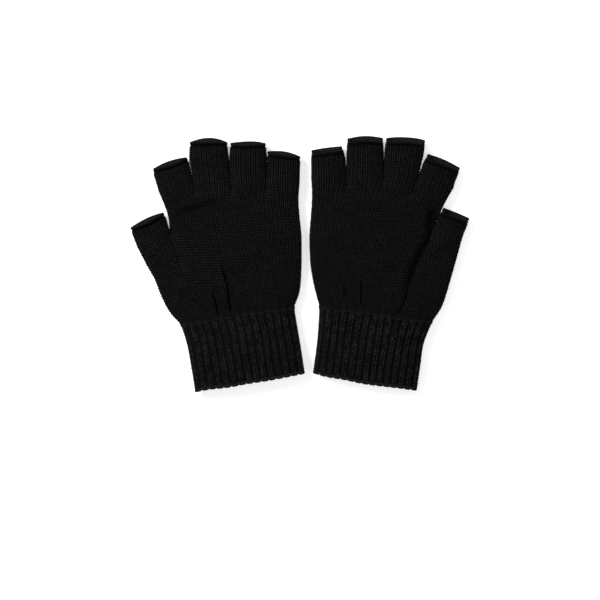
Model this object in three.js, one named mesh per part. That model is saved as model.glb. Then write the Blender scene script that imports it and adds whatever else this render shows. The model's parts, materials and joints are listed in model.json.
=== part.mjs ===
// A pair of half-finger gloves with ribbed cuffs, knitted in the round and lying flat, palms up.
// Each glove is a chain of flattened knit tubes: cuff, lower palm, upper palm, thumb and four finger
// stalls, with a rolled bind-off edge on every finger opening, a cast-on hem on the cuff, and an
// elastic thread wound round the inside of the cuff.
// Millimetres, +Z up, +Y towards the fingertips. The pair lies on z = 0.

import * as THREE from 'three';

// ---- Driving dimensions ----

const handHeight = 11.5;      // outside height of the flattened tube at the palm
const tipHeight = 10.4;       // the same at the open end of a finger
const mouthHeight = 13;       // the same at the mouth of the cuff
const knitWall = 2.1;         // one layer of plain knit
const ribWall = 2.2;          // one layer of ribbed knit
const halfGap = 0.15;         // each section stops this far short of the line it shares with the next
const slitGap = 0.35;         // each finger stays this far back from the slit beside it
const rollHeight = 2.6;       // the rolled bind-off edge, measured along the finger
const rollProud = 0.3;        // how far the roll stands out from the finger's sides
const rollWall = 2.7;         // the roll's thickness through the fabric
const hemHeight = 2.4;        // the cast-on edge of the cuff, measured along the cuff
const hemWall = 2.6;          // the cast-on edge's thickness through the fabric
const roundSteps = 4;         // facets round each folded side of a tube

const thumbWales = 9;         // columns of stitches across the front of each section
const fingerWales = { index: 10, middle: 9, ring: 9, little: 8 };

const elastic = {
  start: 0.14,                // where the thread starts and ends, as shares of the cuff's length
  end: 0.9,
  turns: 3,
  diameter: 0.9,
  sides: 6,
  stepsPerTurn: 22,
};

// ---- Outlines ----
// Points are [x, y]. Lines across a glove run from its left side to its right side, as seen from
// above, and side points run from the cuff towards the fingertips.

const leftGlove = {
  name: 'left',
  thumbIsLeft: true,
  mouth: [[-75, -92], [3, -79]],
  mouthBow: -0.9,
  cuffSides: [[[-80.5, -59]], [[-0.5, -56]]],
  wrist: [[-85.5, -43.5], [-4.5, -31.5]],
  lowerSides: [
    [[-92, -36.5], [-98, -27], [-102.5, -14.5], [-109.5, -1.5]],
    [[-1.5, -23], [0.5, -6]],
  ],
  crotch: [-93, 21],
  thumbRoot: [-116.5, 11.5],
  palmEdge: [0.5, 20],
  upperSides: [[[-95, 36]], [[-1.5, 46]]],
  knuckles: [[-101.5, 52.5], [-76.5, 57.5], [-49.5, 60], [-24, 60], [-0.5, 60]],
  thumb: { tip: [[-121.8, 25.6], [-98, 36.4]], bow: 1.6 },
  fingers: [
    { name: 'index', tip: [[-106, 67.5], [-80.8, 76.2]], bow: 1.8, sides: [[], [[-78.5, 66]]] },
    { name: 'middle', tip: [[-79.5, 87], [-52, 86.5]], bow: 3.5, sides: [[[-79.5, 74]], [[-51, 74]]] },
    { name: 'ring', tip: [[-50, 86.5], [-24.5, 86]], bow: 1.5, sides: [[[-50.5, 74]], [[-24, 74]]] },
    { name: 'little', tip: [[-23.5, 80.5], [0.5, 76.5]], bow: 2, sides: [[[-24, 72]], []] },
  ],
};

const rightGlove = {
  name: 'right',
  thumbIsLeft: false,
  mouth: [[10, -78.5], [83.5, -90.5]],
  mouthBow: 0.6,
  cuffSides: [[[12.5, -57]], [[88.5, -58.5]]],
  wrist: [[14.5, -31], [94.5, -42.5]],
  lowerSides: [
    [[11.5, -19], [8, -1.5]],
    [[99.2, -36], [103, -27], [106.8, -14.5], [111.8, 3]],
  ],
  crotch: [94.5, 21.5],
  thumbRoot: [116, 17.5],
  palmEdge: [7, 20],
  upperSides: [[[9, 46]], [[102.6, 42]]],
  knuckles: [[8.5, 61], [34, 62], [60, 60.5], [83.5, 58.5], [110, 54]],
  thumb: { tip: [[102.8, 40], [121.8, 31.8]], bow: 0.5 },
  fingers: [
    { name: 'little', tip: [[8, 81], [30, 84]], bow: 0.5, sides: [[], [[32.5, 75]]] },
    { name: 'ring', tip: [[34, 89.6], [59.8, 89.6]], bow: 2, sides: [[[33.5, 75]], [[60, 76]]] },
    { name: 'middle', tip: [[62, 89.5], [90, 88.3]], bow: 2, sides: [[[60.5, 76]], [[88, 74]]] },
    { name: 'index', tip: [[91.8, 78.5], [114.8, 68.3]], bow: 1.1, sides: [[[87.6, 68.5]], []] },
  ],
};

// ---- Materials ----

const yarn = new THREE.MeshStandardMaterial({ color: 0x121213, roughness: 0.95, metalness: 0 });
const rolledYarn = new THREE.MeshStandardMaterial({ color: 0x0f0f10, roughness: 0.95, metalness: 0 });
const rubberThread = new THREE.MeshStandardMaterial({ color: 0x1a1a1a, roughness: 0.7, metalness: 0 });

// ---- Flat outlines ----

const toVector = ([x, y]) => new THREE.Vector2(x, y);

// A smooth side through its points, as a function of 0 to 1.
function smoothSide(points) {
  const curve = new THREE.SplineCurve(points.map(toVector));
  return (t) => curve.getPointAt(THREE.MathUtils.clamp(t, 0, 1));
}

// A line across a glove through its points, which stand at the given stops between 0 and 1.
// The bow lifts its middle off the straight line.
function lineAcross(points, stops = [0, 1], bow = 0) {
  const vectors = points.map(toVector);
  const chord = vectors[vectors.length - 1].clone().sub(vectors[0]).normalize();
  const upward = new THREE.Vector2(-chord.y, chord.x);
  return (s) => {
    let i = 0;
    while (i < stops.length - 2 && s > stops[i + 1]) i += 1;
    const share = (s - stops[i]) / (stops[i + 1] - stops[i]);
    return vectors[i].clone().lerp(vectors[i + 1], share).addScaledVector(upward, bow * 4 * s * (1 - s));
  };
}

// The patch between two lines across and two sides: place(s, t), with s across and t along.
function patch(section) {
  const stops = section.stops ?? [0, 1];
  const base = lineAcross(section.base, [0, 1], section.baseBow);
  const end = lineAcross(section.end, stops, section.endBow);
  const [leftPoints, rightPoints] = section.sides ?? [[], []];
  const left = smoothSide([section.base[0], ...leftPoints, section.end[0]]);
  const right = smoothSide([section.base.at(-1), ...rightPoints, section.end.at(-1)]);
  const place = (s, t) => {
    const between = base(s).multiplyScalar(1 - t).addScaledVector(end(s), t);
    const sideShift = left(t).sub(base(0).multiplyScalar(1 - t).addScaledVector(end(0), t));
    const otherShift = right(t).sub(base(1).multiplyScalar(1 - t).addScaledVector(end(1), t));
    return between.addScaledVector(sideShift, 1 - s).addScaledVector(otherShift, s);
  };
  return {
    place,
    width: (t) => place(0, t).distanceTo(place(1, t)),
    length: place(0.5, 0).distanceTo(place(0.5, 1)),
    stops: stops.slice(1, -1),
  };
}

// ---- Flattened tubes ----

// One closed ring round a flattened tube at t: flat below and above, a half circle at each folded
// side. inset moves the ring in from the outside of the fabric, and back moves only its sides in.
function ring(shape, t, height, inset, back, flatStops) {
  const width = shape.width(t);
  const radius = height / 2 - inset;
  const side = back + inset;
  const share = (distance) => distance / width;
  const lowest = side + radius;
  const flats = flatStops.map((f) => THREE.MathUtils.clamp(f, share(lowest), 1 - share(lowest)));
  const profile = [];
  flats.forEach((s) => profile.push([s, inset]));
  for (let k = 0; k <= roundSteps; k += 1) {
    const angle = -Math.PI / 2 + (Math.PI * k) / roundSteps;
    profile.push([1 - share(side + radius * (1 - Math.cos(angle))), height / 2 + radius * Math.sin(angle)]);
  }
  [...flats].reverse().forEach((s) => profile.push([s, height - inset]));
  for (let k = 0; k <= roundSteps; k += 1) {
    const angle = Math.PI / 2 + (Math.PI * k) / roundSteps;
    profile.push([share(side + radius * (1 + Math.cos(angle))), height / 2 + radius * Math.sin(angle)]);
  }
  return profile.map(([s, z]) => {
    const point = shape.place(s, t);
    return new THREE.Vector3(point.x, point.y, z);
  });
}

// The point a share of the way round a ring, from the middle of its underside.
function pointOnRing(shape, t, height, inset, share) {
  const loop = new THREE.CurvePath();
  const points = ring(shape, t, height, inset, 0, [0.5]);
  points.forEach((point, i) => loop.add(new THREE.LineCurve3(point, points[(i + 1) % points.length])));
  return loop.getPointAt(share);
}

// A closed body swept through a loop of rings, each joined to the next and the last to the first.
function bodyOfRings(rings) {
  const count = rings[0].length;
  const positions = rings.flat().flatMap((p) => [p.x, p.y, p.z]);
  const indices = [];
  rings.forEach((_, r) => {
    const next = (r + 1) % rings.length;
    for (let k = 0; k < count; k += 1) {
      const l = (k + 1) % count;
      const [a, b, c, d] = [r * count + k, r * count + l, next * count + l, next * count + k];
      indices.push(a, c, b, a, d, c);
    }
  });
  const geometry = new THREE.BufferGeometry();
  geometry.setAttribute('position', new THREE.Float32BufferAttribute(positions, 3));
  geometry.setIndex(indices);
  geometry.computeVertexNormals();
  return geometry;
}

// Evenly spaced values from a to b.
const evenly = (a, b, steps) => Array.from({ length: steps + 1 }, (_, i) => a + ((b - a) * i) / steps);

// A tube of knit from t = from to t = to: rings go up the outside and come back down the inside.
function tube(shape, { from, to, steps, heights, wall, back = 0, extra = [0.35, 0.65] }) {
  const height = (t) => THREE.MathUtils.lerp(heights[0], heights[1], t);
  const flatStops = [...extra, ...shape.stops].sort((a, b) => a - b);
  const outside = evenly(from, to, steps).map((t) => ring(shape, t, height(t), 0, back, flatStops));
  const inside = evenly(to, from, steps).map((t) => ring(shape, t, height(t), wall, back, flatStops));
  return bodyOfRings([...outside, ...inside]);
}

// ---- Pieces ----

function named(name, geometry, material) {
  const mesh = new THREE.Mesh(geometry, material);
  mesh.name = name;
  return mesh;
}

// A finger or thumb stall and the rolled edge round its opening.
function stall(gloveName, part, root) {
  const shape = patch({ base: root, end: part.tip, endBow: part.bow, sides: part.sides });
  const share = (distance) => distance / shape.length;
  const heights = [handHeight, tipHeight];
  const body = tube(shape, {
    from: share(halfGap), to: 1 - share(rollHeight + halfGap), steps: 3,
    heights, wall: knitWall, back: slitGap,
  });
  const rollHeights = heights.map((h) => h + rollProud);
  const roll = tube(shape, {
    from: 1 - share(rollHeight - halfGap), to: 1, steps: 1,
    heights: rollHeights, wall: rollWall, back: slitGap - rollProud,
  });
  const rollMesh = named(`${gloveName}_${part.name}_rolled_edge`, roll, rolledYarn);
  rollMesh.position.z = rollProud / 2;
  return [named(`${gloveName}_${part.name}_stall`, body, yarn), rollMesh];
}

// The elastic thread: a helix against the inside of the cuff's wall.
function elasticThread(shape, height) {
  const inset = ribWall + halfGap * 2 + elastic.diameter / 2;
  const steps = elastic.turns * elastic.stepsPerTurn;
  const points = evenly(0, 1, steps).map((share) => {
    const t = THREE.MathUtils.lerp(elastic.start, elastic.end, share);
    const turn = (share * elastic.turns) % 1;
    return pointOnRing(shape, t, height(t), inset, turn);
  });
  const section = new THREE.Shape();
  section.absarc(0, 0, elastic.diameter / 2, 0, Math.PI * 2);
  return new THREE.ExtrudeGeometry(section, {
    steps,
    curveSegments: elastic.sides / 2,
    extrudePath: new THREE.CatmullRomCurve3(points),
  });
}

// The ribbed cuff, its cast-on hem and its elastic thread.
function cuff(glove) {
  const shape = patch({
    base: glove.mouth, end: glove.wrist, baseBow: glove.mouthBow, sides: glove.cuffSides,
  });
  const share = (distance) => distance / shape.length;
  const heights = [mouthHeight, handHeight];
  const height = (t) => THREE.MathUtils.lerp(heights[0], heights[1], t);
  const body = tube(shape, {
    from: share(hemHeight + halfGap), to: 1 - share(halfGap), steps: 3, heights, wall: ribWall,
  });
  const hem = tube(shape, {
    from: 0, to: share(hemHeight - halfGap), steps: 1, heights, wall: hemWall,
  });
  return [
    named(`${glove.name}_cuff`, body, yarn),
    named(`${glove.name}_cuff_hem`, hem, rolledYarn),
    named(`${glove.name}_cuff_elastic`, elasticThread(shape, height), rubberThread),
  ];
}

// The two palm sections, and the lines of the roots that they share with the stalls.
function palm(glove) {
  const wales = glove.fingers.map((finger) => fingerWales[finger.name]);
  const across = wales.reduce((sum, n) => sum + n, 0);
  const knuckleStops = [0, ...wales.map((_, i) => wales.slice(0, i + 1).reduce((a, b) => a + b, 0) / across)];
  const thumbShare = thumbWales / (thumbWales + across);
  const split = glove.thumbIsLeft
    ? { line: [glove.thumbRoot, glove.crotch, glove.palmEdge], stops: [0, thumbShare, 1] }
    : { line: [glove.palmEdge, glove.crotch, glove.thumbRoot], stops: [0, 1 - thumbShare, 1] };
  const lower = patch({ base: glove.wrist, end: split.line, stops: split.stops, sides: glove.lowerSides });
  const palmLine = glove.thumbIsLeft ? split.line.slice(1) : split.line.slice(0, 2);
  const upper = patch({
    base: palmLine, end: glove.knuckles, stops: knuckleStops, sides: glove.upperSides,
  });
  const lowerShare = halfGap / lower.length;
  const upperShare = halfGap / upper.length;
  const heights = [handHeight, handHeight];
  return [
    named(`${glove.name}_lower_palm`, tube(lower, {
      from: lowerShare, to: 1 - lowerShare, steps: 5, heights, wall: knitWall,
    }), yarn),
    named(`${glove.name}_upper_palm`, tube(upper, {
      from: upperShare, to: 1 - upperShare, steps: 3, heights, wall: knitWall, extra: [],
    }), yarn),
  ];
}

function buildGlove(glove) {
  const group = new THREE.Group();
  const thumbRootLine = glove.thumbIsLeft
    ? [glove.thumbRoot, glove.crotch]
    : [glove.crotch, glove.thumbRoot];
  group.add(
    ...cuff(glove),
    ...palm(glove),
    ...stall(glove.name, { name: 'thumb', ...glove.thumb }, thumbRootLine),
    ...glove.fingers.flatMap((finger, i) => stall(glove.name, finger, glove.knuckles.slice(i, i + 2))),
  );
  return group;
}

// ---- The pair, centred over the origin ----

const pair = new THREE.Group();
pair.add(buildGlove(leftGlove), buildGlove(rightGlove));
const reach = new THREE.Box3().setFromObject(pair);
const centre = reach.getCenter(new THREE.Vector3());
pair.position.set(-centre.x, -centre.y, -reach.min.z);

export default pair;
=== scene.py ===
import json
import math
import bpy
import numpy as np
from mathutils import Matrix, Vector


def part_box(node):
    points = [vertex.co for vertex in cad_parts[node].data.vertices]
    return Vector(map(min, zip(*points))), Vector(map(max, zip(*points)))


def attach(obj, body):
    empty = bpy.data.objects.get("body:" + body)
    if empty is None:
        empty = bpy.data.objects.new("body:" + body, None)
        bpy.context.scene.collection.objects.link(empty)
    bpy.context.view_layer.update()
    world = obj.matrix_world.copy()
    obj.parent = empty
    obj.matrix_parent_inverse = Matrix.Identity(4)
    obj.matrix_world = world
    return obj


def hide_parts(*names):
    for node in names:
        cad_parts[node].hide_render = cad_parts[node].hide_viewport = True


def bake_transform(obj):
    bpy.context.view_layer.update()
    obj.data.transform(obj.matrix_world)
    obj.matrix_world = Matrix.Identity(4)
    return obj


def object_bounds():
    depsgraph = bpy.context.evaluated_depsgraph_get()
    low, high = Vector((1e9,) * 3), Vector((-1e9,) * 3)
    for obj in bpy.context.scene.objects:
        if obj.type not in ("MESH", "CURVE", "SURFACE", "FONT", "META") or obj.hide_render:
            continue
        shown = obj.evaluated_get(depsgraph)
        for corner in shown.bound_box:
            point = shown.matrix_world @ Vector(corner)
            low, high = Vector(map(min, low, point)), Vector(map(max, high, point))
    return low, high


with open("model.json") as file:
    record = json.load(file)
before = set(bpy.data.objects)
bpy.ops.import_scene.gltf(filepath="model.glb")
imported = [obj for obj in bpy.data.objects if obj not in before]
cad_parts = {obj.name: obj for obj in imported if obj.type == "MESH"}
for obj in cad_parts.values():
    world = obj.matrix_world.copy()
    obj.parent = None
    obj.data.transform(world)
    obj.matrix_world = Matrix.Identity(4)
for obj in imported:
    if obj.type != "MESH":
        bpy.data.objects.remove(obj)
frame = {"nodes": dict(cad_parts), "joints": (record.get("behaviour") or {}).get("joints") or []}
cadBox = [list(corner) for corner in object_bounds()]
joints = {joint["name"]: joint for joint in frame["joints"]}
print("frame loaded, pieces to dress:", len(frame["nodes"]))

mm = 0.001
gloves = ("left", "right")
stallNames = ("thumb", "index", "middle", "ring", "little")

# how the yarn lies, shared by every knitted piece
knit = {
    "wales": {"thumb": 9, "index": 10, "middle": 9, "ring": 9, "little": 8},  # columns on one face
    "course": 1.75 * mm,  # height of one row of stitches
    "columns": 8,         # mesh columns in one wale
    "steps": 4,           # mesh rows in one course
    "relief": 0.95 * mm,  # how far a stitch stands out
    "unevenness": 0.24,   # how much smaller the smallest stitch is
    "dullest": 0.24,      # how much less light the dullest stitch takes
    "shift": 0.16,        # how far a stitch strays along its column, in courses
    "wall": 1.3 * mm,     # from the bottom of the stitches to the inside
    "lap": 0.25 * mm,     # how far a section runs on under the next
    "innerLight": 0.58,   # brightness of the yarn on the inside
    "crown": 2.5,         # roundness of the upper face, 2 is an ellipse
    "belly": 3.6,         # the same below, where it lies flat
    "sideHeight": 0.44,   # where the folded side stands, as a share of the height
}


# wraps a socket, so that shader maths reads as an expression
class Wire:
    def __init__(self, builder, socket):
        self.builder = builder
        self.socket = socket

    def maths(self, operation, first, second=0.0):
        return self.builder.node("ShaderNodeMath", {"operation": operation}, {0: first, 1: second})[0]

    def __add__(self, other):
        return self.maths("ADD", self, other)

    def __radd__(self, other):
        return self.maths("ADD", other, self)

    def __sub__(self, other):
        return self.maths("SUBTRACT", self, other)

    def __rsub__(self, other):
        return self.maths("SUBTRACT", other, self)

    def __mul__(self, other):
        return self.maths("MULTIPLY", self, other)

    def __rmul__(self, other):
        return self.maths("MULTIPLY", other, self)

    def __abs__(self):
        return self.maths("ABSOLUTE", self)

    def sine(self):
        return self.maths("SINE", self)

    def fraction(self):
        return self.maths("FRACT", self)

    def clamped(self):
        return self.maths("MINIMUM", self.maths("MAXIMUM", self, 0.0), 1.0)


# what a node gives, by name or number
class Outputs:
    def __init__(self, builder, made):
        self.builder = builder
        self.made = made

    def __getitem__(self, key):
        return Wire(self.builder, self.made.outputs[key])


class ShaderBuilder:
    def __init__(self, name):
        self.material = bpy.data.materials.new(name)
        self.material.use_nodes = True
        self.tree = self.material.node_tree
        self.tree.nodes.clear()

    def node(self, kind, settings=None, sockets=None):
        made = self.tree.nodes.new(kind)
        for key, value in (settings or {}).items():
            setattr(made, key, value)
        for key, value in (sockets or {}).items():
            if isinstance(value, Wire):
                self.tree.links.new(value.socket, made.inputs[key])
            else:
                made.inputs[key].default_value = value
        return Outputs(self, made)

    def noise(self, vector, grain):
        return self.node("ShaderNodeTexNoise", {}, dict(grain, Vector=vector))["Fac"]

    def blendColours(self, factor, first, second):
        sockets = {0: factor, 6: first, 7: second}
        return self.node("ShaderNodeMix", {"data_type": "RGBA"}, sockets)[2]

    def finish(self, shader):
        self.node("ShaderNodeOutputMaterial", {}, {"Surface": shader})
        return self.material


yarnLook = {
    "shade": (0.0009, 0.00080, 0.00092, 1),  # painted shade, deep between the stitches
    "lit": (0.0250, 0.0226, 0.0253, 1),      # painted highlight, where the fibres catch the light
    "contrast": 1.32,                        # how fast the painted light grows as the yarn stands out
    "darkness": 0.43,                        # taken off all over
    "plyLight": 0.06,                        # what the twist adds
    "fibreLight": 0.4,                       # what single fibres add or take off
    "patchLight": 0.30,                      # what soft patches add or take off
    "fleck": (0.054, 0.049, 0.054, 1),       # painted glints of single fibres
    "fleckShare": 0.36,
    "fleckEdge": 9.0,                        # how sharply a painted glint ends
    "roughness": (0.78, 0.95),
    "specular": 0.03,
    "sheen": 0.004,
    "sheenRoughness": 0.5,
    "plyTurns": 3.0,                         # twists of the yarn in one stitch
    "plySlant": 2.2,                         # how far a twist leans towards the edge of a column
    "plyDepth": 0.16 * mm,
    "bump": 0.7,
    "bumpShares": (0.6, 0.8, 0.5),           # twist, fibre and hair
    "patchGrain": {"Scale": 0.35, "Detail": 3.0, "Roughness": 0.6},
    "fibreGrain": {"Scale": 7.0, "Detail": 4.0, "Roughness": 0.7},
    "hairGrain": {"Scale": 15.0, "Detail": 2.0, "Roughness": 0.5},
}


def yarnMaterial(name, look):
    build = ShaderBuilder(name)
    stitch = build.node("ShaderNodeAttribute", {"attribute_name": "stitch"})
    parts = build.node("ShaderNodeSeparateXYZ", {}, {0: stitch["Vector"]})
    wale, course, heightAndPaintedLight = parts[0], parts[1], parts[2]
    fromMiddle = abs(wale.fraction() - 0.5) * 2.0
    twist = (course * look["plyTurns"] + fromMiddle * look["plySlant"]) * (2 * math.pi)
    ply = twist.sine() * 0.5 + 0.5
    patch = build.noise(stitch["Vector"], look["patchGrain"])
    fibre = build.noise(stitch["Vector"], look["fibreGrain"])
    hair = build.noise(stitch["Vector"], look["hairGrain"])
    # painted light: the yarn's colour is lighter where it stands out and darker between the stitches, in
    # pleats and under the rolls, as painted highlight and painted shade
    paintedLightShare = (heightAndPaintedLight * look["contrast"] - look["darkness"] + ply * look["plyLight"]
               + (fibre - 0.5) * look["fibreLight"] + (patch - 0.5) * look["patchLight"]).clamped()
    base = build.blendColours(paintedLightShare, look["shade"], look["lit"])
    # painted glints: single fibres painted lighter, only where the yarn stands out towards the light
    fleck = ((hair - (1.0 - look["fleckShare"])) * look["fleckEdge"]).clamped() * heightAndPaintedLight
    base = build.blendColours(fleck, base, look["fleck"])
    dull, rough = look["roughness"]
    plyBump, fibreBump, hairBump = look["bumpShares"]
    height = ply * plyBump + fibre * fibreBump + hair * hairBump
    bump = build.node("ShaderNodeBump", {}, {
        "Strength": look["bump"],
        "Distance": look["plyDepth"],
        "Height": height,
    })["Normal"]
    shader = build.node("ShaderNodeBsdfPrincipled", {}, {
        "Base Color": base,
        "Roughness": fibre * (rough - dull) + dull,
        "Specular IOR Level": look["specular"],
        "Sheen Weight": look["sheen"],
        "Sheen Roughness": look["sheenRoughness"],
        "Normal": bump,
    })
    return build.finish(shader["BSDF"])


plainYarn = yarnMaterial("blackYarnPlainKnit", yarnLook)
# the ribs get a brighter painted highlight and brighter painted glints
ribYarn = yarnMaterial("blackYarnRib", dict(
    yarnLook, lit=(0.0430, 0.0389, 0.0434, 1), fleck=(0.115, 0.104, 0.115, 1)))
# the rolled edges get a weaker painted highlight and lighter painted shade
edgeYarn = yarnMaterial("blackYarnRolledEdge", dict(
    yarnLook, shade=(0.0014, 0.0013, 0.0014, 1), lit=(0.0150, 0.0137, 0.0151, 1)))
elasticYarn = yarnMaterial("coveredElasticThread", dict(
    yarnLook, lit=(0.016, 0.016, 0.017, 1), roughness=(0.5, 0.7), specular=0.2, plyTurns=6.0))
print("yarn materials made")


def unit(vector):
    vector = np.asarray(vector, float)
    return vector / np.linalg.norm(vector)


def turned(vector):  # a quarter turn to the left
    return np.array([-vector[1], vector[0]])


reading = {
    "foldReach": 1.1 * mm,  # how far from half height a solid's folded side may stand
    "bowReach": 0.91,       # how much of a bowed end the solid's straight steps reach
}


def readRows(node, across):
    # the folded sides of a tube: one row for each ring of the solid, [left, right], base first
    corners = np.array([v.co for v in frame["nodes"][node].data.vertices])
    corners = np.unique(np.round(corners, 6), axis=0)
    low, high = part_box(node)
    middle = (low.z + high.z) / 2
    folded = corners[abs(corners[:, 2] - middle) < reading["foldReach"]][:, :2]
    sideways = folded @ across
    forward = folded @ turned(across)
    centre = (sideways.min() + sideways.max()) / 2
    sides = []
    for sign in (-1, 1):
        mine = np.where((sideways - centre) * sign > 0)[0]
        mine = mine[np.argsort(forward[mine])]
        pairs = mine.reshape(-1, 2)
        outer = [max(pair, key=lambda k: sideways[k] * sign) for pair in pairs]
        sides.append(folded[outer])
    return np.stack(sides, axis=1)


def bowOf(node, row, outward):
    # how far the middle of an end stands out from the straight line between its corners
    corners = np.array([v.co for v in frame["nodes"][node].data.vertices])[:, :2]
    return max(0.0, ((corners - row[0]) @ outward).max()) / reading["bowReach"]


def midpoint(first, second):
    return (np.asarray(first) + np.asarray(second)) / 2


def makeSection(rows, kinks=(), baseBow=0.0, endBow=0.0):
    # a piece of tube seen from above: its sides, its forks along the far end, and how its ends bow
    rows = np.array(rows)
    middles = rows.mean(axis=1)
    travel = np.concatenate([[0], np.cumsum(np.linalg.norm(np.diff(middles, axis=0), axis=1))])
    chord = rows[-1][1] - rows[-1][0]
    stops, shifts = [0.0], [np.zeros(2)]
    for kink in kinks:
        share = (kink - rows[-1][0]) @ chord / (chord @ chord)
        stops.append(share)
        shifts.append(kink - rows[-1][0] - chord * share)
    return {
        "rows": rows,
        "times": travel / travel[-1],
        "length": travel[-1],
        "stops": np.array(stops + [1.0]),
        "shifts": np.array(shifts + [np.zeros(2)]),
        "baseBow": turned(unit(rows[0][1] - rows[0][0])) * baseBow,
        "endBow": turned(unit(chord)) * endBow,
    }


def smoothThrough(times, points, t):
    # a smooth line through points at their times, a cubic from each point to the next
    slopes = np.gradient(points, times, axis=0)
    here = np.clip(np.searchsorted(times, t, side="right") - 1, 0, len(times) - 2)
    there = here + 1
    step = (times[there] - times[here])[..., None]
    f = ((t - times[here]) / step[..., 0])[..., None]
    return ((2 * f**3 - 3 * f**2 + 1) * points[here] + (f**3 - 2 * f**2 + f) * step * slopes[here]
            + (3 * f**2 - 2 * f**3) * points[there] + (f**3 - f**2) * step * slopes[there])


def place(section, s, t):
    # s across and t along, both 0 to 1, as arrays of one shape
    left = smoothThrough(section["times"], section["rows"][:, 0], t)
    right = smoothThrough(section["times"], section["rows"][:, 1], t)
    shift = np.stack([np.interp(s, section["stops"], section["shifts"][:, k]) for k in (0, 1)], -1)
    bulge = (4 * s * (1 - s))[..., None]
    point = left * (1 - s)[..., None] + right * s[..., None]
    return (point + shift * t[..., None] + bulge * section["endBow"] * t[..., None]
            + bulge * section["baseBow"] * (1 - t)[..., None])


def readGlove(side):
    # all sections of one glove, with the corners that neighbours share made one
    cuffAcross = -unit(joints[f"{side}_cuff_fold"]["axis"][:2])
    order = sorted(stallNames[1:], key=lambda name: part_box(f"{side}_{name}_stall")[0].x)
    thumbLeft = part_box(f"{side}_thumb_stall")[0].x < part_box(f"{side}_{order[0]}_stall")[0].x
    stalls = {}
    for name in stallNames:
        across = unit(joints[f"{side}_{name}_curl"]["axis"][:2])
        stalls[name] = np.concatenate([
            readRows(f"{side}_{name}_stall", across), readRows(f"{side}_{name}_rolled_edge", across)[1:]])
    cuff = np.concatenate([
        readRows(f"{side}_cuff_hem", cuffAcross)[:1], readRows(f"{side}_cuff", cuffAcross)])
    lower = readRows(f"{side}_lower_palm", cuffAcross)
    upper = readRows(f"{side}_upper_palm", np.array([1.0, 0.0]))
    for end in (0, 1):
        cuff[-1][end] = lower[0][end] = midpoint(cuff[-1][end], lower[0][end])
    inner, outer = (1, 0) if thumbLeft else (0, 1)
    thumb = stalls["thumb"]
    crotch = midpoint(thumb[0][inner], upper[0][outer])
    thumb[0][inner] = upper[0][outer] = crotch
    thumb[0][outer] = lower[-1][outer] = midpoint(thumb[0][outer], lower[-1][outer])
    upper[0][inner] = lower[-1][inner] = midpoint(upper[0][inner], lower[-1][inner])
    forks = []
    for first, second in zip(order, order[1:]):
        fork = midpoint(stalls[first][0][1], stalls[second][0][0])
        stalls[first][0][1] = stalls[second][0][0] = fork
        forks.append(fork)
    for end, name in ((0, order[0]), (1, order[-1])):
        stalls[name][0][end] = upper[-1][end] = midpoint(stalls[name][0][end], upper[-1][end])
    sections = {
        "cuff": makeSection(cuff, baseBow=-bowOf(f"{side}_cuff_hem", cuff[0], -turned(cuffAcross))),
        "lower": makeSection(lower, kinks=[crotch]),
        "upper": makeSection(upper, kinks=forks),
    }
    for name, rows in stalls.items():
        outward = turned(unit(rows[-1][1] - rows[-1][0]))
        sections[name] = makeSection(rows, endBow=bowOf(f"{side}_{name}_rolled_edge", rows[-1], outward))
    palmWales = [knit["wales"][name] for name in order]
    thumbWales = knit["wales"]["thumb"]
    both = [thumbWales, sum(palmWales)] if thumbLeft else [sum(palmWales), thumbWales]
    return {
        "side": side,
        "order": order,
        "sections": sections,
        "palmWales": palmWales,
        "lowerWales": both,
    }


def roundness(q, power):
    # 1 in the middle and 0 at q = -1 and 1, rounder for a higher power
    return np.clip(1 - abs(q) ** power, 0, 1) ** (1 / power)


def smoothStep(x):
    x = np.clip(x, 0, 1)
    return x * x * (3 - 2 * x)


def withinLobe(stops, s):
    # -1 to 1 across the lobe that holds s
    lobe = np.clip(np.searchsorted(stops, s, side="right") - 1, 0, len(stops) - 2)
    return 2 * (s - stops[lobe]) / (stops[lobe + 1] - stops[lobe]) - 1


# cloth that was never pressed: waves up and down, and columns that wander
cloth = {
    "slowWave": {"seed": 3, "count": 14, "shortest": 24 * mm, "longest": 70 * mm, "height": 0.34 * mm},
    "quickWave": {"seed": 5, "count": 18, "shortest": 8 * mm, "longest": 16 * mm, "height": 0.06 * mm},
    "swayAcross": {"seed": 8, "count": 14, "shortest": 24 * mm, "longest": 60 * mm, "height": 0.13 * mm},
    "swayAlong": {"seed": 9, "count": 14, "shortest": 14 * mm, "longest": 40 * mm, "height": 0.24 * mm},
}


def waves(look, ground):
    # many small waves in all directions, the same wherever two pieces meet
    dice = np.random.default_rng(look["seed"])
    heading = dice.uniform(0, math.pi, look["count"])
    length = dice.uniform(look["shortest"], look["longest"], look["count"])
    phase = dice.uniform(0, 2 * math.pi, look["count"])
    total = np.zeros(ground.shape[:-1])
    for turn, span, start in zip(heading, length, phase):
        run = ground[..., 0] * math.cos(turn) + ground[..., 1] * math.sin(turn)
        total += np.sin(2 * math.pi * run / span + start)
    return total * look["height"] / math.sqrt(look["count"] / 2)


def faceHeights(section, shape, s, t, inset):
    # heights of the upper and lower faces above the table
    full = shape["height"][0] * (1 - t) + shape["height"][1] * t
    side = full * knit["sideHeight"]
    start = shape["lobeStart"]
    share = smoothStep((t - start) / (1 - start)) if start < 1 else 0
    whole, lobe = 2 * s - 1, withinLobe(section["stops"], s)
    crown = roundness(whole, knit["crown"]) * (1 - share) + roundness(lobe, knit["crown"]) * share
    belly = roundness(whole, knit["belly"]) * (1 - share) + roundness(lobe, knit["belly"]) * share
    return side + (full - side - inset) * crown, side - (side - inset) * belly


fineSteps = 61  # places tried across one lobe when its columns are spaced


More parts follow.
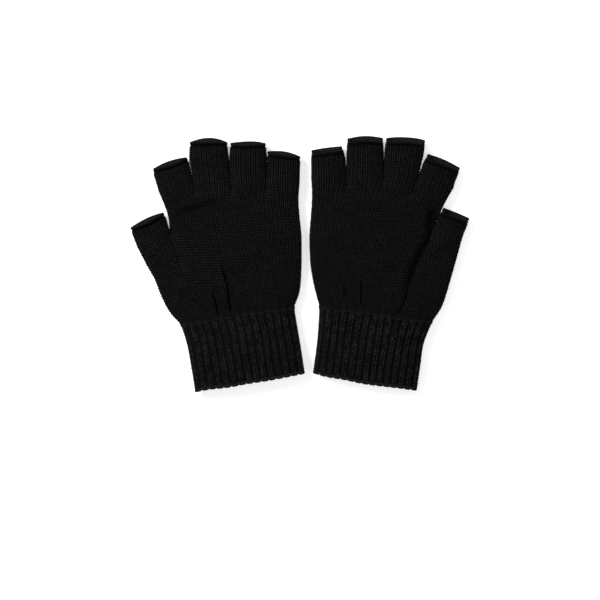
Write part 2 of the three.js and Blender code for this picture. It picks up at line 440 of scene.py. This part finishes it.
def spreadColumns(section, shape, times, perWale, inset):
    # columns are spaced evenly over the curved faces, lobe by lobe
    stops = section["stops"]
    faces = ([], [])
    swing = (1 - np.cos(np.linspace(0, math.pi, fineSteps))) / 2
    for lobe, wales in enumerate(shape["wales"]):
        fine = stops[lobe] + (stops[lobe + 1] - stops[lobe]) * swing
        s = np.broadcast_to(fine, (len(times), len(fine)))
        t = np.broadcast_to(times[:, None], s.shape)
        ground = place(section, s, t)
        wanted = np.linspace(0, 1, wales * perWale + 1)
        for face, height in enumerate(faceHeights(section, shape, s, t, inset)):
            line = np.concatenate([ground, height[..., None]], axis=-1)
            run = np.linalg.norm(np.diff(line, axis=1), axis=2)
            run = np.concatenate([np.zeros((len(times), 1)), np.cumsum(run, axis=1)], axis=1)
            run /= run[:, -1:]
            spaced = np.stack([np.interp(wanted, run[r], fine) for r in range(len(times))])
            faces[face].append(spaced if lobe == 0 else spaced[:, 1:])
    upper, lower = (np.concatenate(part, axis=1) for part in faces)
    return upper[:, :-1], lower[:, :0:-1]


pleatForm = {
    "topGain": 2,       # how fast a pleat fades out from the top of the glove to its folded sides
    "topOffset": 0.6,
    "pilePlace": 2.2,   # where the cloth piles up beside a valley, in widths of the valley
    "pileWidth": 1.8,   # in the same widths
    "startFade": 6,     # a pleat comes up over one part in six of its length
    "endFade": 3,       # and dies away over one part in three
    "farAway": 1.0,     # more than the size of a glove
}


def tubeSurface(section, shape, times, perWale, inset, sideInset=0.0):
    # rings of points: along the upper face from left to right, and back along the lower one
    upper, lower = spreadColumns(section, shape, times, perWale, inset)
    s = np.concatenate([upper, lower], axis=1)
    t = np.broadcast_to(times[:, None], s.shape)
    above, below = faceHeights(section, shape, s, t, inset)
    isUpper = np.arange(s.shape[1]) < upper.shape[1]
    z = np.where(isUpper, above, below)
    if "mouth" in shape:
        # the upper layer stops short of the lower one, so that the opening shows
        mouth = shape["mouth"]
        back = mouth["depth"] * roundness(2 * s - 1, mouth["power"]) * isUpper
        t = t - back / section["length"] * smoothStep(1 - (1 - t) * section["length"] / mouth["reach"])
    width = np.linalg.norm(section["rows"][:, 1] - section["rows"][:, 0], axis=1).mean()
    ground = place(section, 0.5 + (s - 0.5) * (1 - 2 * sideInset / width), t)
    full = shape["height"][0]
    rise = waves(cloth["slowWave"], ground) + waves(cloth["quickWave"], ground)
    z = z + rise * np.clip(z / full, 0, 1) ** 2
    for pleat in shape.get("pleats", ()):
        onTop = smoothStep(z / full * pleatForm["topGain"] - pleatForm["topOffset"])
        onTop = np.where(isUpper, onTop, 0.0)
        z = z + pleatFold(section, pleat, ground)[0] * onTop
    sway = np.stack([waves(cloth["swayAcross"], ground), waves(cloth["swayAlong"], ground)], axis=-1)
    return np.concatenate([ground + sway, z[..., None]], axis=-1)


def pleatFold(section, pleat, ground):
    # a fold in the upper face: a sharp valley with the cloth piled up on its left, and how much painted
    # shade falls in the valley
    path = np.array(pleat["path"])
    line = place(section, path[:, 0], path[:, 1])
    best = np.full(ground.shape[:2], pleatForm["farAway"])
    signed = best
    where = np.zeros(ground.shape[:2])
    for k in range(len(line) - 1):
        run = line[k + 1] - line[k]
        share = np.clip(((ground - line[k]) @ run) / (run @ run), 0, 1)
        off = ground - line[k] - share[..., None] * run
        distance = np.linalg.norm(off, axis=-1)
        near = distance < best
        best = np.where(near, distance, best)
        signed = np.where(near, distance * np.sign(off @ turned(run)), signed)
        where = np.where(near, (k + share) / (len(line) - 1), where)
    ends = smoothStep((1 - where) * pleatForm["endFade"])
    if pleat.get("fadeStart", True):
        ends = ends * smoothStep(where * pleatForm["startFade"])
    width = pleat["width"]
    valley = np.exp(-((best / width) ** 2)) * ends
    beside = (signed - pleatForm["pilePlace"] * width) / (pleatForm["pileWidth"] * width)
    pile = np.exp(-(beside ** 2)) * ends
    return pleat["pile"] * pile - pleat["depth"] * valley, valley * pleat["shadow"]


def surfaceNormals(rings):
    along = np.gradient(rings, axis=0)
    around = np.roll(rings, -1, axis=1) - np.roll(rings, 1, axis=1)
    normal = np.cross(around, along)
    length = np.linalg.norm(normal, axis=-1, keepdims=True)
    return normal / np.maximum(length, 1e-12)


# every leg's own size, place and brightness, for this many legs and rows before it repeats
diceLegs, diceRows = 256, 128
loopDice = np.random.default_rng(21).uniform(0, 1, (3, diceLegs, diceRows))

legForm = {
    "below": 0.20,      # how far a leg starts under its row, in courses
    "length": 1.34,     # in courses
    "root": 0.20,       # how far from the middle of the column it starts, 1 is the edge
    "lean": 0.52,       # how far it moves outwards as it rises
    "halfWidth": 0.31,
    "roundness": 0.6,
}


def legHeight(fromMiddle, column, course):
    # one leg of a stitch leans outwards as it rises, over the row below and under the row above
    best = np.zeros(np.broadcast(fromMiddle, course).shape)
    light = best
    leg = np.floor(column * 2).astype(int) % diceLegs
    for row in (-1, 0, 1):
        number = np.floor(course).astype(int) + row
        size, place, gleam = loopDice[:, leg, number % diceRows]
        size = 1 - knit["unevenness"] * size
        stray = knit["shift"] * (place - 0.5)
        rise = (course - number + legForm["below"] - stray) / legForm["length"]
        inside = (rise > 0) & (rise < 1)
        rise = np.clip(rise, 0, 1)
        off = (fromMiddle - (legForm["root"] + legForm["lean"] * rise)) / legForm["halfWidth"]
        yarn = np.clip(1 - off**2, 0, 1) ** legForm["roundness"]
        height = np.where(inside, yarn * np.sin(math.pi * rise) * size, 0)
        light = np.where(height > best, height / size * (1 - knit["dullest"] * gleam), light)
        best = np.maximum(best, height)
    return best, light


def plainStitch(wale, course):
    # how high the yarn stands, and how much painted light its colour gets
    return legHeight(abs(2 * (wale % 1) - 1), wale, course)


def loopFaces(ringCount, columns, first, inward=False):
    # the faces between rings of points
    ring, column = np.meshgrid(np.arange(ringCount - 1), np.arange(columns), indexing="ij")
    nextColumn = (column + 1) % columns
    corners = [ring * columns + column, ring * columns + nextColumn,
               (ring + 1) * columns + nextColumn, (ring + 1) * columns + column]
    faces = np.stack(corners, axis=-1).reshape(-1, 4) + first
    return faces[:, ::-1] if inward else faces


def capFaces(outerStart, outerColumns, innerStart, innerColumns, facesBase):
    # a rim between the outside and the inside of the cloth
    ratio = outerColumns // innerColumns
    column = np.arange(innerColumns)[:, None]
    outer = outerStart + (column * ratio + np.arange(ratio + 1)) % outerColumns
    inner = innerStart + np.concatenate([(column + 1) % innerColumns, column], axis=1)
    faces = np.concatenate([outer, inner], axis=1)
    return faces[:, ::-1] if facesBase else faces


def meshPiece(name, points, faceSets, stitch, material, flatSets=0):
    # the last flatSets sets of faces are rims, shaded flat so that they don't dull the cloth beside them
    mesh = bpy.data.meshes.new(name)
    corners = np.concatenate([faces.ravel() for faces in faceSets]).astype(np.int32)
    counts = np.concatenate([np.full(len(faces), faces.shape[1]) for faces in faceSets])
    starts = np.concatenate([[0], np.cumsum(counts)[:-1]]).astype(np.int32)
    mesh.vertices.add(len(points))
    mesh.vertices.foreach_set("co", points.astype(np.float32).ravel())
    mesh.loops.add(len(corners))
    mesh.loops.foreach_set("vertex_index", corners)
    mesh.polygons.add(len(counts))
    mesh.polygons.foreach_set("loop_start", starts)
    mesh.update(calc_edges=True)
    rims = sum(len(faces) for faces in faceSets[len(faceSets) - flatSets:])
    mesh.polygons.foreach_set("use_smooth", np.arange(len(counts)) < len(counts) - rims)
    layer = mesh.attributes.new("stitch", "FLOAT_VECTOR", "POINT")
    layer.data.foreach_set("vector", stitch.astype(np.float32).ravel())
    mesh.materials.append(material)
    mesh.validate()
    piece = bpy.data.objects.new(name, mesh)
    bpy.context.scene.collection.objects.link(piece)
    return piece


def courseCount(section, shape):
    # rows of stitches from one end of a section to the other
    return max(2, round(section["length"] * shape.get("cover", 1.0) / knit["course"]))


def knitTube(name, section, shape, stitchHeight, relief, innerPerWale, material, innerHeight=None):
    # a closed shell: relief outside, smoother inside, rims at both ends
    perWale, steps = shape["columns"], knit["steps"]
    courses = courseCount(section, shape)
    last = shape.get("cover", 1 + knit["lap"] / section["length"])
    times = np.linspace(0, last, courses * steps + 1)
    base = tubeSurface(section, shape, times, perWale, relief)
    wale = np.broadcast_to(np.arange(base.shape[1]) / perWale, base.shape[:2])
    course = np.broadcast_to((np.arange(len(times)) / steps)[:, None], base.shape[:2])
    # the second value is painted light for the colour, lighter where the yarn stands out
    stand, heightAndPaintedLight = stitchHeight(wale, course)
    push = stand * relief
    # painted shade in the valleys of pleats and creases
    for pleat in shape.get("pleats", ()):
        heightAndPaintedLight = heightAndPaintedLight * (1 - pleatFold(section, pleat, base[..., :2])[1])
    if "neck" in shape:
        neck = shape["neck"]
        fromTip = (1 - times[:, None]) * section["length"]
        narrow = smoothStep((neck["from"] - fromTip) / neck["slope"])
        push = push * (1 - neck["flatness"] * narrow) - neck["depth"] * narrow
        # painted shade under the rolled edge
        heightAndPaintedLight = heightAndPaintedLight * (1 - neck["shadow"] * narrow)
    if "gather" in shape:
        gather = shape["gather"]
        fromBase = times[:, None] * section["length"]
        fold = np.cos(2 * math.pi * (wale / gather["wales"] + 0.5))
        push = push + gather["height"] * fold * smoothStep(1 - fromBase / gather["reach"])
    outside = base + surfaceNormals(base) * push[..., None]
    innerTimes = np.linspace(0, last, courses + 1)
    depth = relief + knit["wall"]
    inside = tubeSurface(section, shape, innerTimes, innerPerWale, depth, sideInset=depth)
    innerWale = np.broadcast_to(np.arange(inside.shape[1]) / innerPerWale, inside.shape[:2])
    innerCourse = np.broadcast_to(np.arange(courses + 1.0)[:, None], inside.shape[:2])
    if innerHeight is not None:
        inside = inside - surfaceNormals(inside) * (innerHeight(innerWale) * relief)[..., None]
    innerLift = np.full(innerWale.shape, knit["innerLight"])
    points = np.concatenate([outside.reshape(-1, 3), inside.reshape(-1, 3)])
    stitch = np.concatenate([
        np.stack([wale, course, heightAndPaintedLight], axis=-1).reshape(-1, 3),
        np.stack([innerWale, innerCourse, innerLift], axis=-1).reshape(-1, 3),
    ])
    outerColumns, innerColumns = outside.shape[1], inside.shape[1]
    firstInner = outside.shape[0] * outerColumns
    lastOuterRing = firstInner - outerColumns
    lastInnerRing = len(points) - innerColumns
    faceSets = [
        loopFaces(outside.shape[0], outerColumns, 0),
        loopFaces(inside.shape[0], innerColumns, firstInner, inward=True),
        capFaces(0, outerColumns, firstInner, innerColumns, True),
        capFaces(lastOuterRing, outerColumns, lastInnerRing, innerColumns, False),
    ]
    return meshPiece(name, points, faceSets, stitch, material, flatSets=2)


def rolledRing(name, centres, outward, bumpCount, look, light):
    # a thick roll that runs round an opening, wound with slanting stitches
    count = len(centres)
    along = np.roll(centres, -1, axis=0) - np.roll(centres, 1, axis=0)
    along /= np.linalg.norm(along, axis=1, keepdims=True)
    outward = outward - (outward * along).sum(axis=1, keepdims=True) * along
    outward /= np.linalg.norm(outward, axis=1, keepdims=True)
    sideways = np.cross(along, outward)
    turns = np.arange(look["sides"]) / look["sides"]
    angle = turns * 2 * math.pi
    travel = np.arange(count)[:, None] / count * bumpCount
    wound = (travel + turns[None, :] * look["slant"]) % 1
    heightAndPaintedLight = roundness(2 * wound - 1, look["bumpPower"]) ** look["bumpFullness"]
    size = look["radius"] * (1 - look["bump"] + look["bump"] * heightAndPaintedLight)
    ring = (centres[:, None, :] + outward[:, None, :] * (np.cos(angle)[None, :] * size)[..., None]
            + sideways[:, None, :] * (np.sin(angle)[None, :] * size)[..., None])
    sides = look["sides"]
    row, column = np.meshgrid(np.arange(count), np.arange(sides), indexing="ij")
    nextRow, nextColumn = (row + 1) % count, (column + 1) % sides
    corners = [row * sides + column, nextRow * sides + column,
               nextRow * sides + nextColumn, row * sides + nextColumn]
    faces = np.stack(corners, axis=-1).reshape(-1, 4)
    wales = np.broadcast_to(travel, heightAndPaintedLight.shape)
    courses = np.broadcast_to(turns[None, :] * look["courses"], heightAndPaintedLight.shape)
    # painted light: the bumps' tops are painted lighter, scaled by light
    stitch = np.stack([wales, courses, heightAndPaintedLight * light], axis=-1)
    return meshPiece(name, ring.reshape(-1, 3), [faces], stitch.reshape(-1, 3), edgeYarn)


fingerRoll = {
    "radius": 1.05 * mm,
    "inset": 0.85 * mm,                         # how far it keeps inside the folded sides
    "leaningInset": {"left_index": 1.45 * mm},  # for a finger that leans on its neighbour when curled
    "sink": 0.9,          # how far below the faces its middle runs, in radii
    "sides": 14,
    "columns": 16,        # mesh steps in one wale
    "bumpsPerWale": 4,
    "bump": 0.22,         # how much thinner it is between two bumps
    "bumpPower": 2.0,     # roundness of a bump, 2 is a circle
    "bumpFullness": 0.8,
    "slant": 1.0,         # bumps that the winding leans over in one turn
    "courses": 3,         # rows of stitches round the roll
    # painted light on the roll from its bottom to its top; the top is painted darker, a painted shadow
    # line at the opening
    "lowerLight": 1.0,
    "upperLight": 0.40,
    "back": 0.65 * mm,    # from the tip line to the middle of the roll
    "nearby": 0.02,       # how far off the rings beside it are, as a share of the stall
}


def fingerEdge(side, name, section, shape):
    inset = fingerRoll["leaningInset"].get(f"{side}_{name}", fingerRoll["inset"])
    at = 1 - fingerRoll["back"] / section["length"]
    times = np.array([at - fingerRoll["nearby"], at, at + fingerRoll["nearby"]])
    loops = tubeSurface(section, shape, times, fingerRoll["columns"],
                        fingerRoll["radius"] * fingerRoll["sink"], sideInset=inset)
    normals = surfaceNormals(loops)[1]
    # painted shade: the roll is painted darker towards its top, standing in for the shadow in the opening
    # above it
    height = loops[1, :, 2:] / loops[1, :, 2].max()
    light = fingerRoll["lowerLight"] + (fingerRoll["upperLight"] - fingerRoll["lowerLight"]) * height
    bumpCount = sum(shape["wales"]) * fingerRoll["bumpsPerWale"]
    return rolledRing(f"{side}_{name}_edge_roll", loops[1], normals, bumpCount, fingerRoll, light)


palm = {
    "fingerValley": 0.62,    # how far up the upper palm the valleys between the fingers begin
    "thumbValley": {"left": 0.45, "right": 0.80},
    "innerColumns": 2,       # mesh columns in one wale on the inside
    "edgeAbove": 0.3 * mm,   # how far an edge stands above its stall
    "neck": {"from": 3.4 * mm, "slope": 1.2 * mm, "depth": 0.35 * mm,        # under the rolled edges
             "flatness": 0.6, "shadow": 0.85},
    "mouth": {"left": {"depth": 3.1 * mm, "power": 1.6, "reach": 14 * mm},   # how the openings show
              "right": {"depth": 3.7 * mm, "power": 5.0, "reach": 14 * mm}},
    "gather": {"wales": 3, "height": 0.42 * mm, "reach": 9 * mm},            # where the ribs pull it in
    "pleats": {  # their paths run across and along the palm, both from 0 to 1
        "left": [
            {"path": [(0.45, 0.02), (0.48, 0.39), (0.465, 0.70)],
             "depth": 2.6 * mm, "width": 1.0 * mm, "pile": 0.8 * mm, "shadow": 0.8},
            {"path": [(0.345, 0.01), (0.365, 0.2), (0.357, 0.32)],
             "depth": 2.2 * mm, "width": 0.95 * mm, "pile": 0.5 * mm, "shadow": 0.75},
        ],
        "right": [
            {"path": [(0.803, 1.0), (0.772, 0.85), (0.735, 0.62), (0.712, 0.40), (0.70, 0.18)],
             "depth": 2.6 * mm, "width": 3.2 * mm, "pile": 0.4 * mm, "shadow": 0.42, "fadeStart": False},
            {"path": [(0.712, 0.34), (0.70, 0.16), (0.688, 0.015)],
             "depth": 2.0 * mm, "width": 1.1 * mm, "pile": 0.3 * mm, "shadow": 0.70},
            {"path": [(0.36, 0.42), (0.365, 0.04)],
             "depth": 1.4 * mm, "width": 0.9 * mm, "pile": 0.4 * mm, "shadow": 0.7},
            {"path": [(0.22, 0.34), (0.24, 0.13)],
             "depth": 0.8 * mm, "width": 1.2 * mm, "pile": 0.3 * mm, "shadow": 0.4},
        ],
    },
    "softCreases": {  # across the upper palm
        "left": [
            {"path": [(0.04, 0.42), (0.22, 0.52), (0.48, 0.66)],
             "depth": 0.8 * mm, "width": 2.8 * mm, "pile": 0.2 * mm, "shadow": 0.32},
        ],
        "right": [
            {"path": [(0.995, 0.0), (0.955, 0.16), (0.945, 0.40), (0.90, 0.62)],
             "depth": 1.6 * mm, "width": 3.0 * mm, "pile": 0.1 * mm, "shadow": 0.42, "fadeStart": False},
        ],
    },
}

bendReach = {"finger": 10 * mm, "cuff": 14 * mm}  # how far from a finger's root and from a wrist a point is reckoned; the points are not used


def dressPalms(glove, height):
    side = glove["side"]
    lowerShape = {
        "wales": glove["lowerWales"],
        "height": (height, height),
        "columns": knit["columns"],
        "lobeStart": palm["thumbValley"][side],
        "pleats": palm["pleats"][side],
        "gather": palm["gather"],
    }
    upperShape = {
        "wales": glove["palmWales"],
        "height": (height, height),
        "columns": knit["columns"],
        "lobeStart": palm["fingerValley"],
        "pleats": palm["softCreases"][side],
    }
    for part, shape in (("lower", lowerShape), ("upper", upperShape)):
        node = f"{side}_{part}_palm"
        piece = knitTube(f"{node}_knit", glove["sections"][part], shape, plainStitch, knit["relief"],
                         palm["innerColumns"], plainYarn)
        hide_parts(node)
        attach(piece, f"{side}_hand")


def dressStall(glove, name, height):
    side, section = glove["side"], glove["sections"][name]
    edge = f"{side}_{name}_rolled_edge"
    shape = {
        "wales": [knit["wales"][name]],
        "height": (height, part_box(edge)[1].z - palm["edgeAbove"]),
        "columns": knit["columns"],
        "lobeStart": 1.0,
        "cover": 1 - fingerRoll["back"] / section["length"],
        "neck": palm["neck"],
        "mouth": palm["mouth"][side],
    }
    piece = knitTube(f"{side}_{name}_stall_knit", section, shape, plainStitch, knit["relief"],
                     palm["innerColumns"], plainYarn)
    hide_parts(f"{side}_{name}_stall")
    root = section["rows"][0].mean(axis=0)
    ahead = turned(unit(section["rows"][0][1] - section["rows"][0][0])) * bendReach["finger"]
    root[0] + ahead[0]
    root[1] + ahead[1]
    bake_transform(piece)
    roll = fingerEdge(side, name, section, shape)
    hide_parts(edge)
    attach(roll, f"{side}_{name}")


def dressHand(glove):
    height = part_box(f"{glove['side']}_lower_palm")[1].z
    dressPalms(glove, height)
    for name in stallNames:
        dressStall(glove, name, height)


rib = {
    "count": 15,          # ribs on one face
    "columns": 15,        # mesh columns in one rib
    "innerColumns": 5,
    "relief": 1.7 * mm,   # from the bottom of the furrow to the top of the stitches
    "innerRelief": 0.45,  # how much of that shows on the inside
    "halfWidth": 0.41,    # from the middle of a rib to the bottom of a furrow, 0.5 is the next rib
    "slope": 0.17,        # how wide the side of a furrow is
    "legReach": 0.34,     # from the middle of a rib to the outside of its stitches
    "stitchShare": 0.70,  # how much of the relief the stitches themselves make
    "purlShare": 0.26,    # how high the bars at the bottom of a furrow are
    "purlLight": 0.50,
    "grooveLight": 0.34,  # between the two legs of a rib
    "dullest": 0.58,      # how much less light some stitches of a rib take
    "beadsAcross": 4,     # beads that take their own light, in one rib
    "beadsAlong": 2,      # and in one course
    "beadShift": 0.4,
    "start": 2.2,         # courses over which the ribs rise out of the plain knit
    "scallop": 0.7 * mm,  # how far a rib runs past the furrows at the mouth
}


def ribRidge(wale):
    # 1 on a rib and 0 in a furrow
    return smoothStep((rib["halfWidth"] - abs(wale % 1 - 0.5)) / rib["slope"])


def beadDice(wale, course):
    across = np.floor(wale * rib["beadsAcross"]).astype(int) % diceLegs
    along = np.floor(course * rib["beadsAlong"] + rib["beadShift"]).astype(int) % diceRows
    return loopDice[2][across, along]


def ribStitch(wale, course, total):
    across = abs(wale % 1 - 0.5)
    legs, gleam = legHeight(np.clip(across / rib["legReach"], 0, 1), wale, course)
    purl = 0.5 + 0.5 * np.cos(2 * math.pi * course)
    ridge = ribRidge(wale)
    share = rib["stitchShare"]
    ribbed = ridge * (1 - share + share * legs) + (1 - ridge) * rib["purlShare"] * purl
    bead = np.maximum(gleam * (1 - rib["dullest"] * beadDice(wale, course)), rib["grooveLight"])
    # painted light: the rib's stitches are painted lighter and the furrows darker, as painted shade down
    # in them
    ribLight = ridge * bead + (1 - ridge) * rib["purlLight"] * purl
    # next to the palm the cloth is still plain, and stands as high as the palm does
    leg, palmLight = plainStitch(wale * palm["gather"]["wales"], course)
    level = 1 - knit["relief"] / rib["relief"]
    fold = palm["gather"]["height"] / rib["relief"] * np.cos(2 * math.pi * (wale + 0.5))
    plain = level + (1 - level) * leg + fold
    risen = smoothStep((total - course) / rib["start"])
    return ribbed * risen + plain * (1 - risen), ribLight * risen + palmLight * (1 - risen)


def innerRib(wale):
    # a furrow outside is a rib inside
    return rib["innerRelief"] * (1 - ribRidge(wale))


def dressCuff(glove):
    side, section = glove["side"], glove["sections"]["cuff"]
    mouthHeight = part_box(f"{side}_cuff_hem")[1].z
    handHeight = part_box(f"{side}_lower_palm")[1].z
    shape = {
        "wales": [rib["count"]],
        "height": (mouthHeight, handHeight),
        "columns": rib["columns"],
        "lobeStart": 1.0,
    }
    total = courseCount(section, shape)

    def stitchHeight(wale, course):
        return ribStitch(wale, course, total)

    piece = knitTube(f"{side}_cuff_rib", section, shape, stitchHeight, rib["relief"],
                     rib["innerColumns"], ribYarn, innerRib)
    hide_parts(f"{side}_cuff")
    wrist = section["rows"][-1]
    middle = wrist.mean(axis=0)
    back = -turned(unit(wrist[1] - wrist[0])) * bendReach["cuff"]
    bend = {"start": (middle[0], middle[1], 0), "end": (middle[0] + back[0], middle[1] + back[1], 0)}
    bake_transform(piece)
    dressHem(side, section, shape)
    dressElastic(side, section, shape)


hem = {
    "radius": 1.15 * mm,
    "sink": 1.1,         # how far below the faces its middle runs, in radii
    "sideInset": 0.6,    # how far it keeps inside the folded sides, in radii
    "back": 0.7,         # from the mouth to its middle, in radii
    "sides": 12,
    "columns": 24,       # mesh steps in one rib
    "bumpsPerRib": 6,
    "bump": 0.30,
    "bumpPower": 2.0,
    "bumpFullness": 0.8,
    "slant": 1.0,
    "courses": 3,
    "light": 0.9,
    "ribRise": 0.5 * mm,     # how far it stands out where it crosses a rib
    "furrowBack": 0.3 * mm,  # how far it draws back in a furrow
}


def dressHem(side, section, shape):
    at = hem["radius"] * hem["back"] / section["length"]
    loops = tubeSurface(section, shape, np.array([0, at, 2 * at]), hem["columns"],
                        hem["radius"] * hem["sink"], sideInset=hem["radius"] * hem["sideInset"])
    normals = surfaceNormals(loops)[1]
    ridge = ribRidge(np.arange(loops.shape[1]) / hem["columns"])[:, None]
    forward = loops[0] - loops[2]
    forward /= np.linalg.norm(forward, axis=1, keepdims=True)
    centres = (loops[1] + normals * ridge * hem["ribRise"]
               + forward * (ridge * rib["scallop"] - hem["furrowBack"]))
    piece = rolledRing(f"{side}_cuff_hem_roll", centres, normals, rib["count"] * hem["bumpsPerRib"],
                       hem, hem["light"])
    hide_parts(f"{side}_cuff_hem")
    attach(piece, f"{side}_cuff")


elastic = {
    "radius": 0.45 * mm,
    "sides": 8,
    "turns": 3,
    "stepsPerRib": 3,
    "from": 0.14,      # where it starts and ends, as shares of the cuff from its mouth
    "to": 0.9,
    "windings": 0.3,   # windings of its covering in one step
    "light": 0.6,
}


def dressElastic(side, section, shape):
    # a thread against the inside of the cuff, three times round
    sides = elastic["sides"]
    total = 2 * rib["count"] * elastic["stepsPerRib"] * elastic["turns"]
    times = np.linspace(elastic["from"], elastic["to"], total + 1)
    inset = rib["relief"] + knit["wall"] + elastic["radius"]
    rings = tubeSurface(section, shape, times, elastic["stepsPerRib"], inset, sideInset=inset)
    steps = np.arange(total + 1)
    column = steps % rings.shape[1]
    centres = rings[steps, column]
    along = np.gradient(centres, axis=0)
    along /= np.linalg.norm(along, axis=1, keepdims=True)
    outward = surfaceNormals(rings)[steps, column]
    sideways = np.cross(along, outward)
    angle = np.arange(sides) / sides * 2 * math.pi
    ring = (centres[:, None] + outward[:, None] * np.cos(angle)[None, :, None] * elastic["radius"]
            + sideways[:, None] * np.sin(angle)[None, :, None] * elastic["radius"])
    body = loopFaces(total + 1, sides, 0, inward=True)
    caps = np.array([np.arange(sides), total * sides + np.arange(sides)[::-1]])
    windings = steps[:, None] * elastic["windings"]
    stitch = np.stack(np.broadcast_arrays(windings, angle[None, :], elastic["light"]), -1)
    piece = meshPiece(f"{side}_cuff_elastic_thread", ring.reshape(-1, 3), [body, caps],
                      stitch.reshape(-1, 3), elasticYarn)
    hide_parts(f"{side}_cuff_elastic")
    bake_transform(piece)


for side in gloves:
    glove = readGlove(side)
    dressHand(glove)
    dressCuff(glove)
    print(side, "glove knitted, stalls from left to right:", glove["order"])


studio = {
    "tableSize": 4.0,
    "tableColour": (0.86, 0.86, 0.86, 1),
    "tableRoughness": 0.9,
    "tableSpecular": 0.2,
    "tableGlow": 0.55,       # a light table, so that the pair throws hardly any shadow
    "tableDrop": 0.2 * mm,   # how far it lies under the solids
    "airColour": (1, 1, 1, 1),
    "air": 0.42,
    "key": {"place": (-1.25, 0.95, 1.2), "power": 46.0, "size": 0.8},
    "fill": {"place": (1.0, -0.8, 1.6), "power": 8.0, "size": 1.4},
    "cameraHeight": 2.6,
    "fieldWidth": 0.432,     # width of table that the camera takes in
    "aimBelowCentre": 0.026,
    "sensorWidth": 36,
    "sight": 20,             # how far the camera sees
}


def makeTable():
    half = studio["tableSize"] / 2
    corners = [(-half, -half, 0), (half, -half, 0), (half, half, 0), (-half, half, 0)]
    mesh = bpy.data.meshes.new("table")
    mesh.from_pydata(corners, [], [(0, 1, 2, 3)])
    table = bpy.data.objects.new("table", mesh)
    bpy.context.scene.collection.objects.link(table)
    build = ShaderBuilder("paleTable")
    shader = build.node("ShaderNodeBsdfPrincipled", {}, {
        "Base Color": studio["tableColour"],
        "Roughness": studio["tableRoughness"],
        "Specular IOR Level": studio["tableSpecular"],
        "Emission Color": studio["airColour"],
        "Emission Strength": studio["tableGlow"],
    })
    mesh.materials.append(build.finish(shader["BSDF"]))
    table.location.z = cadBox[0][2] - studio["tableDrop"]


def addLight(name, lamp):
    data = bpy.data.lights.new(name, "AREA")
    data.energy = lamp["power"]
    data.size = lamp["size"]
    light = bpy.data.objects.new(name, data)
    light.location = lamp["place"]
    light.rotation_euler = (-Vector(lamp["place"])).to_track_quat("-Z", "Y").to_euler()
    bpy.context.scene.collection.objects.link(light)


def addAir():
    world = bpy.data.worlds.new("studioAir")
    world.use_nodes = True
    background = world.node_tree.nodes["Background"]
    background.inputs["Color"].default_value = studio["airColour"]
    background.inputs["Strength"].default_value = studio["air"]
    bpy.context.scene.world = world


def addCamera():
    # straight above, looking down
    data = bpy.data.cameras.new("overhead")
    data.sensor_width = studio["sensorWidth"]
    data.lens = studio["sensorWidth"] * studio["cameraHeight"] / studio["fieldWidth"]
    data.clip_end = studio["sight"]
    camera = bpy.data.objects.new("overhead", data)
    camera.location = (0, -studio["aimBelowCentre"], studio["cameraHeight"])
    bpy.context.scene.collection.objects.link(camera)
    bpy.context.scene.camera = camera


makeTable()
addAir()
addLight("softKey", studio["key"])
addLight("softFill", studio["fill"])
addCamera()
bpy.context.scene.view_settings.view_transform = "Standard"
print("studio ready")
